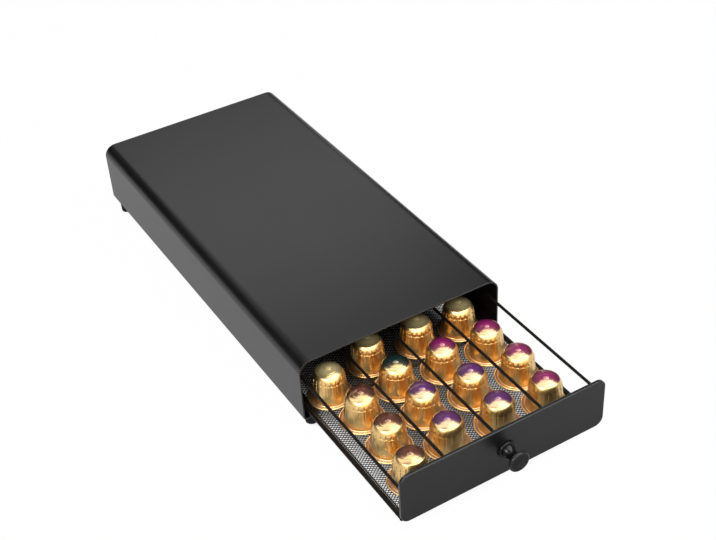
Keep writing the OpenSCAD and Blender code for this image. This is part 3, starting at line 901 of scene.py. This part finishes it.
# ---------- Coffee pods ----------
def flute_spacing(pods):
    """Angles round a pod, closer together at the flutes, and how deep a flute is at each"""
    pitch = 2 * math.pi / pods.flutes
    half = 0.5 * pods.flute_width / pods.shoulder
    slit = [(-0.5 * pitch, 0.0), (-0.28 * pitch, 0.0), (-1.05 * half, 0.0), (-0.7 * half, 0.75),
            (0.0, 1.0), (0.7 * half, 0.75), (1.05 * half, 0.0), (0.28 * pitch, 0.0)]
    angles = [pitch * number + offset for number in range(pods.flutes) for offset, part in slit]
    return np.array(angles), np.array([part for offset, part in slit] * pods.flutes)


def pod_shape(pods, radius, height):
    """A sealed pod: lid, curled rim, fluted body, sloping shoulder and domed cap"""
    angles, flute = flute_spacing(pods)
    rise = height - pods.bump_rise - pods.cap_height
    slope = pods.cap_height - pods.shoulder_height
    rings, wears = [], []

    def ring(out, up, wear=0.0):
        rings.append(np.column_stack([out * np.cos(angles), out * np.sin(angles), up + 0 * angles]))
        wears.append(wear)

    def body(up):
        return pods.foot + (pods.shoulder - pods.foot) * up / pods.shoulder_height

    def slit(up):
        share_of_depth = (up - pods.flute_start) / (pods.shoulder_height - pods.flute_start)
        return pods.flute_depth * max(0.0, share_of_depth) * flute

    def dome(out):
        return pods.cap_height + rise * (1 - (out / pods.cap) ** 2)

    rim_middle = radius - pods.rim
    for out in (0.0, 0.5 * rim_middle, rim_middle - 1.2 * MM):
        ring(out, 0.0)
    for angle in arc(-90, 150, 24):
        ring(rim_middle + pods.rim * math.cos(angle), pods.rim * (1 + math.sin(angle)), 0.5)
    for inward, up in ((1.6, 0.62), (2.0, 0.55), (2.3, 0.82), (2.6, 0.55), (3.1, 0.6), (3.45, 0.8)):
        ring(radius - inward * MM, up * MM)
    bead_half = 0.35 * MM
    for up in np.linspace(1.3 * MM, pods.bead_height - 1.5 * bead_half, 10):
        ring(body(up) - slit(up), up)
    for step in (-1.0, -0.5, 0.0, 0.5, 1.0):
        up = pods.bead_height + step * bead_half
        ring(body(up) + pods.bead * math.cos(step * math.pi / 2) - 0.6 * slit(up), up, 0.4)
    for part in (0.3, 0.6, 0.85):
        up = pods.bead_height + part * (pods.shoulder_height - pods.bead_height)
        ring(body(up) - slit(up), up)
    soft = 0.22 * MM
    cone = (pods.shoulder - pods.cap) / slope
    edge_out = pods.shoulder - slit(pods.shoulder_height)
    edge_up = pods.shoulder_height + slit(pods.shoulder_height) / cone
    ring(edge_out, edge_up - soft, 0.6)
    ring(edge_out - 0.3 * soft, edge_up, 1.0)
    ring(edge_out - cone * soft, edge_up + soft, 0.6)
    bend_out = pods.cap + 0.38 * (pods.shoulder - pods.cap)
    bend_up = pods.cap_height - 0.18 * slope
    for part in (0.25, 0.4, 0.55, 0.7, 0.85, 1.0):
        first, second, third = (1 - part) ** 2, 2 * part * (1 - part), part ** 2
        ring(first * pods.shoulder + second * bend_out + third * pods.cap,
             first * pods.shoulder_height + second * bend_up + third * pods.cap_height)
    groove_half = 0.5 * MM
    for out in np.linspace(pods.cap - 0.5 * MM, pods.groove + 1.4 * groove_half, 5):
        ring(out, dome(out))
    for step in (-1.0, -0.6, -0.3, 0.0, 0.3, 0.6, 1.0):
        out = pods.groove - step * groove_half
        ring(out, dome(out) - pods.groove_depth * math.cos(step * math.pi / 2))
    for out in np.linspace(pods.groove - 1.4 * groove_half, pods.bump + 0.3 * MM, 5):
        ring(out, dome(out))
    for part in (1.0, 0.9, 0.78, 0.6, 0.38, 0.18, 0.0):
        out = pods.bump * part
        ring(out, dome(out) + pods.bump_rise * math.cos(part * math.pi / 2) ** 0.75)
    shape = Shape()
    shape.rows(rings, wears)
    return shape


# ---------- Operators ----------
def settings_of(context):
    """The sizes and colours in this scene"""
    return context.scene.pod_drawer


class DRAWER_OT_stage(bpy.types.Operator):
    """Builds the floor, the room, the lights, the boards that shape the reflections, and the camera"""
    bl_idname = "pod_drawer.stage"
    bl_label = "Stage"

    def execute(self, context):
        stage = settings_of(context).stage
        build_floor(stage)
        build_world(stage)
        build_lights(stage)
        build_boards()
        build_camera(context.scene)
        context.scene.view_settings.view_transform = "Standard"
        return {"FINISHED"}


class DRAWER_OT_casing(bpy.types.Operator):
    """Builds the folded sheet and finishes the back panel and the runners"""
    bl_idname = "pod_drawer.casing"
    bl_label = "Casing"

    def execute(self, context):
        settings = settings_of(context)
        coat = powder_coat(settings.casing)
        sheet = casing_sheet(settings.casing)
        fit_piece(sheet, "casing", coat, CASING, ["casing_shell"])
        dress_node("back_panel", coat)
        runner_coat = wire_coat(settings.wire, "Runner coat", 0.02 * MM)
        for node in RUNNERS:
            dress_node(node, runner_coat)
        return {"FINISHED"}


class DRAWER_OT_feet(bpy.types.Operator):
    """Builds the four rubber feet"""
    bl_idname = "pod_drawer.feet"
    bl_label = "Feet"

    def execute(self, context):
        rubber = foot_rubber(settings_of(context).casing)
        for node in FEET:
            fit_piece(foot_shape(node), node + "_rubber", rubber, CASING, [node])
        return {"FINISHED"}


class DRAWER_OT_front(bpy.types.Operator):
    """Builds the front panel and its knob, and finishes the knob's screw"""
    bl_idname = "pod_drawer.front"
    bl_label = "Front and knob"

    def execute(self, context):
        settings = settings_of(context)
        coat = powder_coat(settings.casing)
        fit_piece(panel_shape(settings.front), "panel", coat, DRAWER, ["front_panel"])
        low, high = node_box("knob")
        middle = node_middle("knob")
        base = (middle[0], high[1], middle[2])
        profile = np.array(knob_profile(settings.front, high[1] - low[1], (high[0] - low[0]) / 2))
        shape = Shape()
        turned(shape, profile[:, :2], base, FORWARD, facets=128, wear=profile[:, 2])
        lacquer = knob_lacquer(settings.front, base)
        fit_piece(shape, "turned_knob", lacquer, DRAWER, ["knob"])
        dress_node("knob_screw", zinc_plate())
        return {"FINISHED"}


class DRAWER_OT_wires(bpy.types.Operator):
    """Builds the floor rod and bars, the top rail, the posts and the dividers"""
    bl_idname = "pod_drawer.wires"
    bl_label = "Wire frame"

    def execute(self, context):
        wires = settings_of(context).wire
        coat = wire_coat(wires, "Wire coat", 0.04 * MM)
        chance = random.Random(WELD_SEED)
        pieces = [("floor_rod", floor_frame_shape(wires, chance), "floor_frame"),
                  ("rail", top_rail_shape(wires, chance), "top_rail")]
        pieces += [(node + "_wire", post_shape(node, chance), node) for node in POSTS]
        pieces += [(node + "_hoop", divider_shape(node, wires, chance), node) for node in DIVIDERS]
        for name, shape, node in pieces:
            fit_piece(shape, name, coat, DRAWER, [node])
        return {"FINISHED"}


class DRAWER_OT_mesh_floor(bpy.types.Operator):
    """Builds the expanded-metal floor in two halves"""
    bl_idname = "pod_drawer.mesh_floor"
    bl_label = "Mesh floor"

    def execute(self, context):
        wires = settings_of(context).wire
        coat = wire_coat(wires, "Mesh coat", 0.02 * MM, shine=0.3)
        for shape, name in zip(mesh_floor_shapes(wires), ("mesh_floor_front", "mesh_floor_rear")):
            fit_piece(shape, name, coat, DRAWER, ["mesh_floor"])
        return {"FINISHED"}


class DRAWER_OT_pods(bpy.types.Operator):
    """Builds the sixteen coffee pods, four columns of four"""
    bl_idname = "pod_drawer.pods"
    bl_label = "Coffee pods"

    def execute(self, context):
        pods = settings_of(context).pods
        foils = {name: pod_foil(pods, f"Foil, {name} cap", getattr(pods, name)) for name in CAP_COLOURS}
        chance = random.Random(POD_SEED)
        for column, caps in enumerate(POD_COLUMNS, 1):
            for row, cap in enumerate(caps.split(), 1):
                node = f"pod_{column}_{row}"
                low, high = node_box(node)
                middle = node_middle(node)
                shape = pod_shape(pods, (high[0] - low[0]) / 2, high[2] - low[2])
                turn = chance.uniform(0, 2 * math.pi)
                fit_piece(shape, f"capsule_{column}_{row}", foils[cap], DRAWER, [node],
                          (middle[0], middle[1], low[2]), turn)
        return {"FINISHED"}


# ---------- Stage ----------
def flat_sheet(name, corners, material):
    """A single flat sheet for the stage"""
    mesh = bpy.data.meshes.new(name)
    mesh.from_pydata(corners, [], [range(len(corners))])
    mesh.materials.append(material)
    sheet = bpy.data.objects.new(name, mesh)
    bpy.context.scene.collection.objects.link(sheet)
    return sheet


def upright(start, end, low, high):
    """The corners of an upright board over a line on the floor"""
    return [(*start, low), (*end, low), (*end, high), (*start, high)]


def level(left, right, front, back, height):
    """The corners of a level sheet"""
    return [(left, front, height), (right, front, height), (right, back, height), (left, back, height)]


def seen_directly(shader):
    """Two signals: one for what the camera sees, and one for what it sees in gloss or through glass"""
    camera, gloss, glass = [shader.node("ShaderNodeLightPath", {}, {}, name)
                            for name in ("Is Camera Ray", "Is Glossy Ray", "Is Transmission Ray")]
    return camera, gloss.highest(glass)


def build_floor(stage):
    """A plain white floor that keeps the drawer's soft shadow, and stays dark under the casing"""
    shader = new_shader("Plain floor")
    paint = shader.node("ShaderNodeBsdfDiffuse", {}, {"Color": tuple(stage.floor)})
    glow = shader.node("ShaderNodeEmission", {}, {"Color": WHITE, "Strength": 1.0})
    camera, gloss = seen_directly(shader)
    openness = shader.node("ShaderNodeAmbientOcclusion", {"samples": 12}, {"Distance": 0.12}, "AO")
    factor = (camera * stage.floor_glow + gloss * stage.gloss_glow) * openness.step(0.08, 0.22)
    low, high = node_box("casing_shell")
    across, along = shader.parts(shader.place())[:2]
    inner, outer = 28 * MM, 14 * MM
    mouth_outer, mouth_inner = 4 * MM, 20 * MM
    wide = 1 - (across * across).step((high[0] - inner) ** 2, (high[0] - outer) ** 2)
    behind_mouth = along.step(low[1] + mouth_outer, low[1] + mouth_inner)
    deep = behind_mouth - along.step(high[1] - inner, high[1] - outer)
    floor = shader.finish(shader.blend(factor * (1 - wide * deep), paint, glow))
    reach = 6.0
    flat_sheet("floor", level(-reach, reach, -reach, reach, 0), floor)


def build_world(stage):
    """A white room: plain white where it is seen, softer where it lights"""
    world = bpy.data.worlds.new("White room")
    bpy.context.scene.world = world
    shader = Shader(world)
    light, white = [shader.node("ShaderNodeBackground", {}, {"Color": WHITE, "Strength": strength})
                    for strength in (stage.room, 1.0)]
    camera, gloss = seen_directly(shader)
    mixed = shader.blend(camera.highest(gloss), light, white)
    shader.node("ShaderNodeOutputWorld", {}, {"Surface": mixed})


def softbox(name, place, aim, size, watts):
    """A square lamp that shines from its place at a point"""
    lamp = bpy.data.lights.new(name, "AREA")
    lamp.shape = "RECTANGLE"
    lamp.size, lamp.size_y = size
    lamp.energy = watts
    holder = bpy.data.objects.new(name, lamp)
    holder.location = place
    way = Vector(aim) - Vector(place)
    holder.rotation_euler = way.to_track_quat("-Z", "Y").to_euler()
    holder.visible_camera = False
    bpy.context.scene.collection.objects.link(holder)
    return holder


def build_lights(stage):
    """A large softbox above the front of the drawer, and four more that only gloss sees"""
    drawer = (0.0, -0.17, 0.03)
    softbox("overhead_softbox", (0.2, -0.59, 1.04), drawer, (1.6, 0.9), stage.overhead)
    gloss_only = (
        ("low_softbox", (-0.2, -1.35, 0.62), (2.6, 0.5), 1.0),
        ("high_softbox", (0.14, 0.03, 1.12), (2.0, 0.54), 1.0),
        ("rear_softbox", (0.7, 1.65, 1.34), (0.75, 0.4), 0.26),
        ("left_softbox", (-1.05, -0.62, 0.8), (0.45, 0.45), 5.0),
    )
    for name, place, size, strength in gloss_only:
        watts = stage.sheen * size[0] * size[1] * strength
        softbox(name, place, drawer, size, watts).visible_diffuse = False


def dark_reflection_board():
    """Near-black paint for the boards, which paint dark reflections"""
    shader = new_shader("Dark board")
    black = shader.mix(shader.noise(shader.place(), 60, 3), (0.002, 0.002, 0.002), (0.006, 0.006, 0.006))
    return shader.surface({"Base Color": black, "Roughness": 1.0})


def grey_card(front):
    """Grey card for a painted reflection in the front panel, painted darker towards the panel"""
    shader = new_shader("Grey card")
    along = shader.parts(shader.place())[1]
    tone = shader.mix(along.step(front - 0.08, front), (0.68, 0.68, 0.68), (0.5, 0.5, 0.5))
    return shader.surface({"Base Color": tone, "Roughness": 1.0})


def build_boards():
    """Dark boards and a grey card, which only gloss sees: they stand where nothing is, and paint the dark
    reflections on the edges and a grey reflection in the front
    """
    reflection_board = dark_reflection_board()
    front = node_box("front_panel")[0][1]
    fold_left, fold_right = (-0.3, 0.44, 0.6), (0.9, 0.44, 0.6)
    boards = (
        ("flag_left_rear", upright((-1.9, 0.55), (-0.1, 1.6), 0.08, 1.25), reflection_board),
        ("flag_right_rear", upright((1.08, 1.2), (1.68, -0.28), 0.02, 2.2), reflection_board),
        ("flag_rear_low", upright((-0.1, 1.6), (1.2, 1.6), 0.02, 0.84), reflection_board),
        ("flag_over_casing", [(-0.2, -0.105, 0.08), (0.5, -0.105, 0.08), fold_right, fold_left], reflection_board),
        ("flag_high", [fold_left, fold_right, (0.9, 0.31, 1.08), (-0.3, 0.31, 1.08)], reflection_board),
        ("card_front", level(-0.25, 0.5, front - 0.36, front - 0.001, 0.001), grey_card(front)),
    )
    for name, corners, material in boards:
        board = flat_sheet(name, corners, material)
        for ray in ("camera", "diffuse", "transmission", "shadow"):
            setattr(board, "visible_" + ray, False)


def build_camera(scene):
    """The camera, above the drawer at its front left"""
    turn, climb, roll = (math.radians(angle) for angle in (-28.995, 37.325, -3.834))
    back = Vector((math.sin(turn) * math.cos(climb), -math.cos(turn) * math.cos(climb), math.sin(climb)))
    flat = Vector((0, 0, 1)).cross(back).normalized()
    steep = back.cross(flat)
    right = math.cos(roll) * flat + math.sin(roll) * steep
    up = math.cos(roll) * steep - math.sin(roll) * flat
    lens = bpy.data.cameras.new("camera")
    lens.lens = 65.51
    lens.sensor_width = 36.0
    camera = bpy.data.objects.new("camera", lens)
    pose = Matrix((right, up, back)).transposed().to_4x4()
    pose.translation = (-0.408, -0.785, 0.7181)
    camera.matrix_world = pose
    scene.collection.objects.link(camera)
    scene.camera = camera


OPERATORS = (DRAWER_OT_stage, DRAWER_OT_casing, DRAWER_OT_feet, DRAWER_OT_front, DRAWER_OT_wires,
             DRAWER_OT_mesh_floor, DRAWER_OT_pods)


class DRAWER_PT_build(bpy.types.Panel):
    """Lists the settings and the pieces to build"""
    bl_idname = "DRAWER_PT_build"
    bl_label = "Coffee pod drawer"
    bl_space_type = "VIEW_3D"
    bl_region_type = "UI"
    bl_category = "Pod drawer"

    def draw(self, context):
        settings = settings_of(context)
        for group in (settings.casing, settings.front, settings.wire, settings.pods, settings.stage):
            box = self.layout.box()
            for name in group.__annotations__:
                box.prop(group, name)
        for operator in OPERATORS:
            self.layout.operator(operator.bl_idname)


CLASSES = (CasingSettings, FrontSettings, WireSettings, PodSettings, StageSettings, DrawerSettings,
           *OPERATORS, DRAWER_PT_build)


def register():
    """Adds the settings, the operators and the panel to Blender"""
    for item in CLASSES:
        bpy.utils.register_class(item)
    bpy.types.Scene.pod_drawer = PointerProperty(type=DrawerSettings)


def unregister():
    """Takes them away again"""
    del bpy.types.Scene.pod_drawer
    for item in reversed(CLASSES):
        bpy.utils.unregister_class(item)


def main():
    """Builds everything"""
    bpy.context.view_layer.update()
    register()
    for operator in OPERATORS:
        group, name = operator.bl_idname.split(".")
        getattr(getattr(bpy.ops, group), name)()


if __name__ == "__main__":
    main()
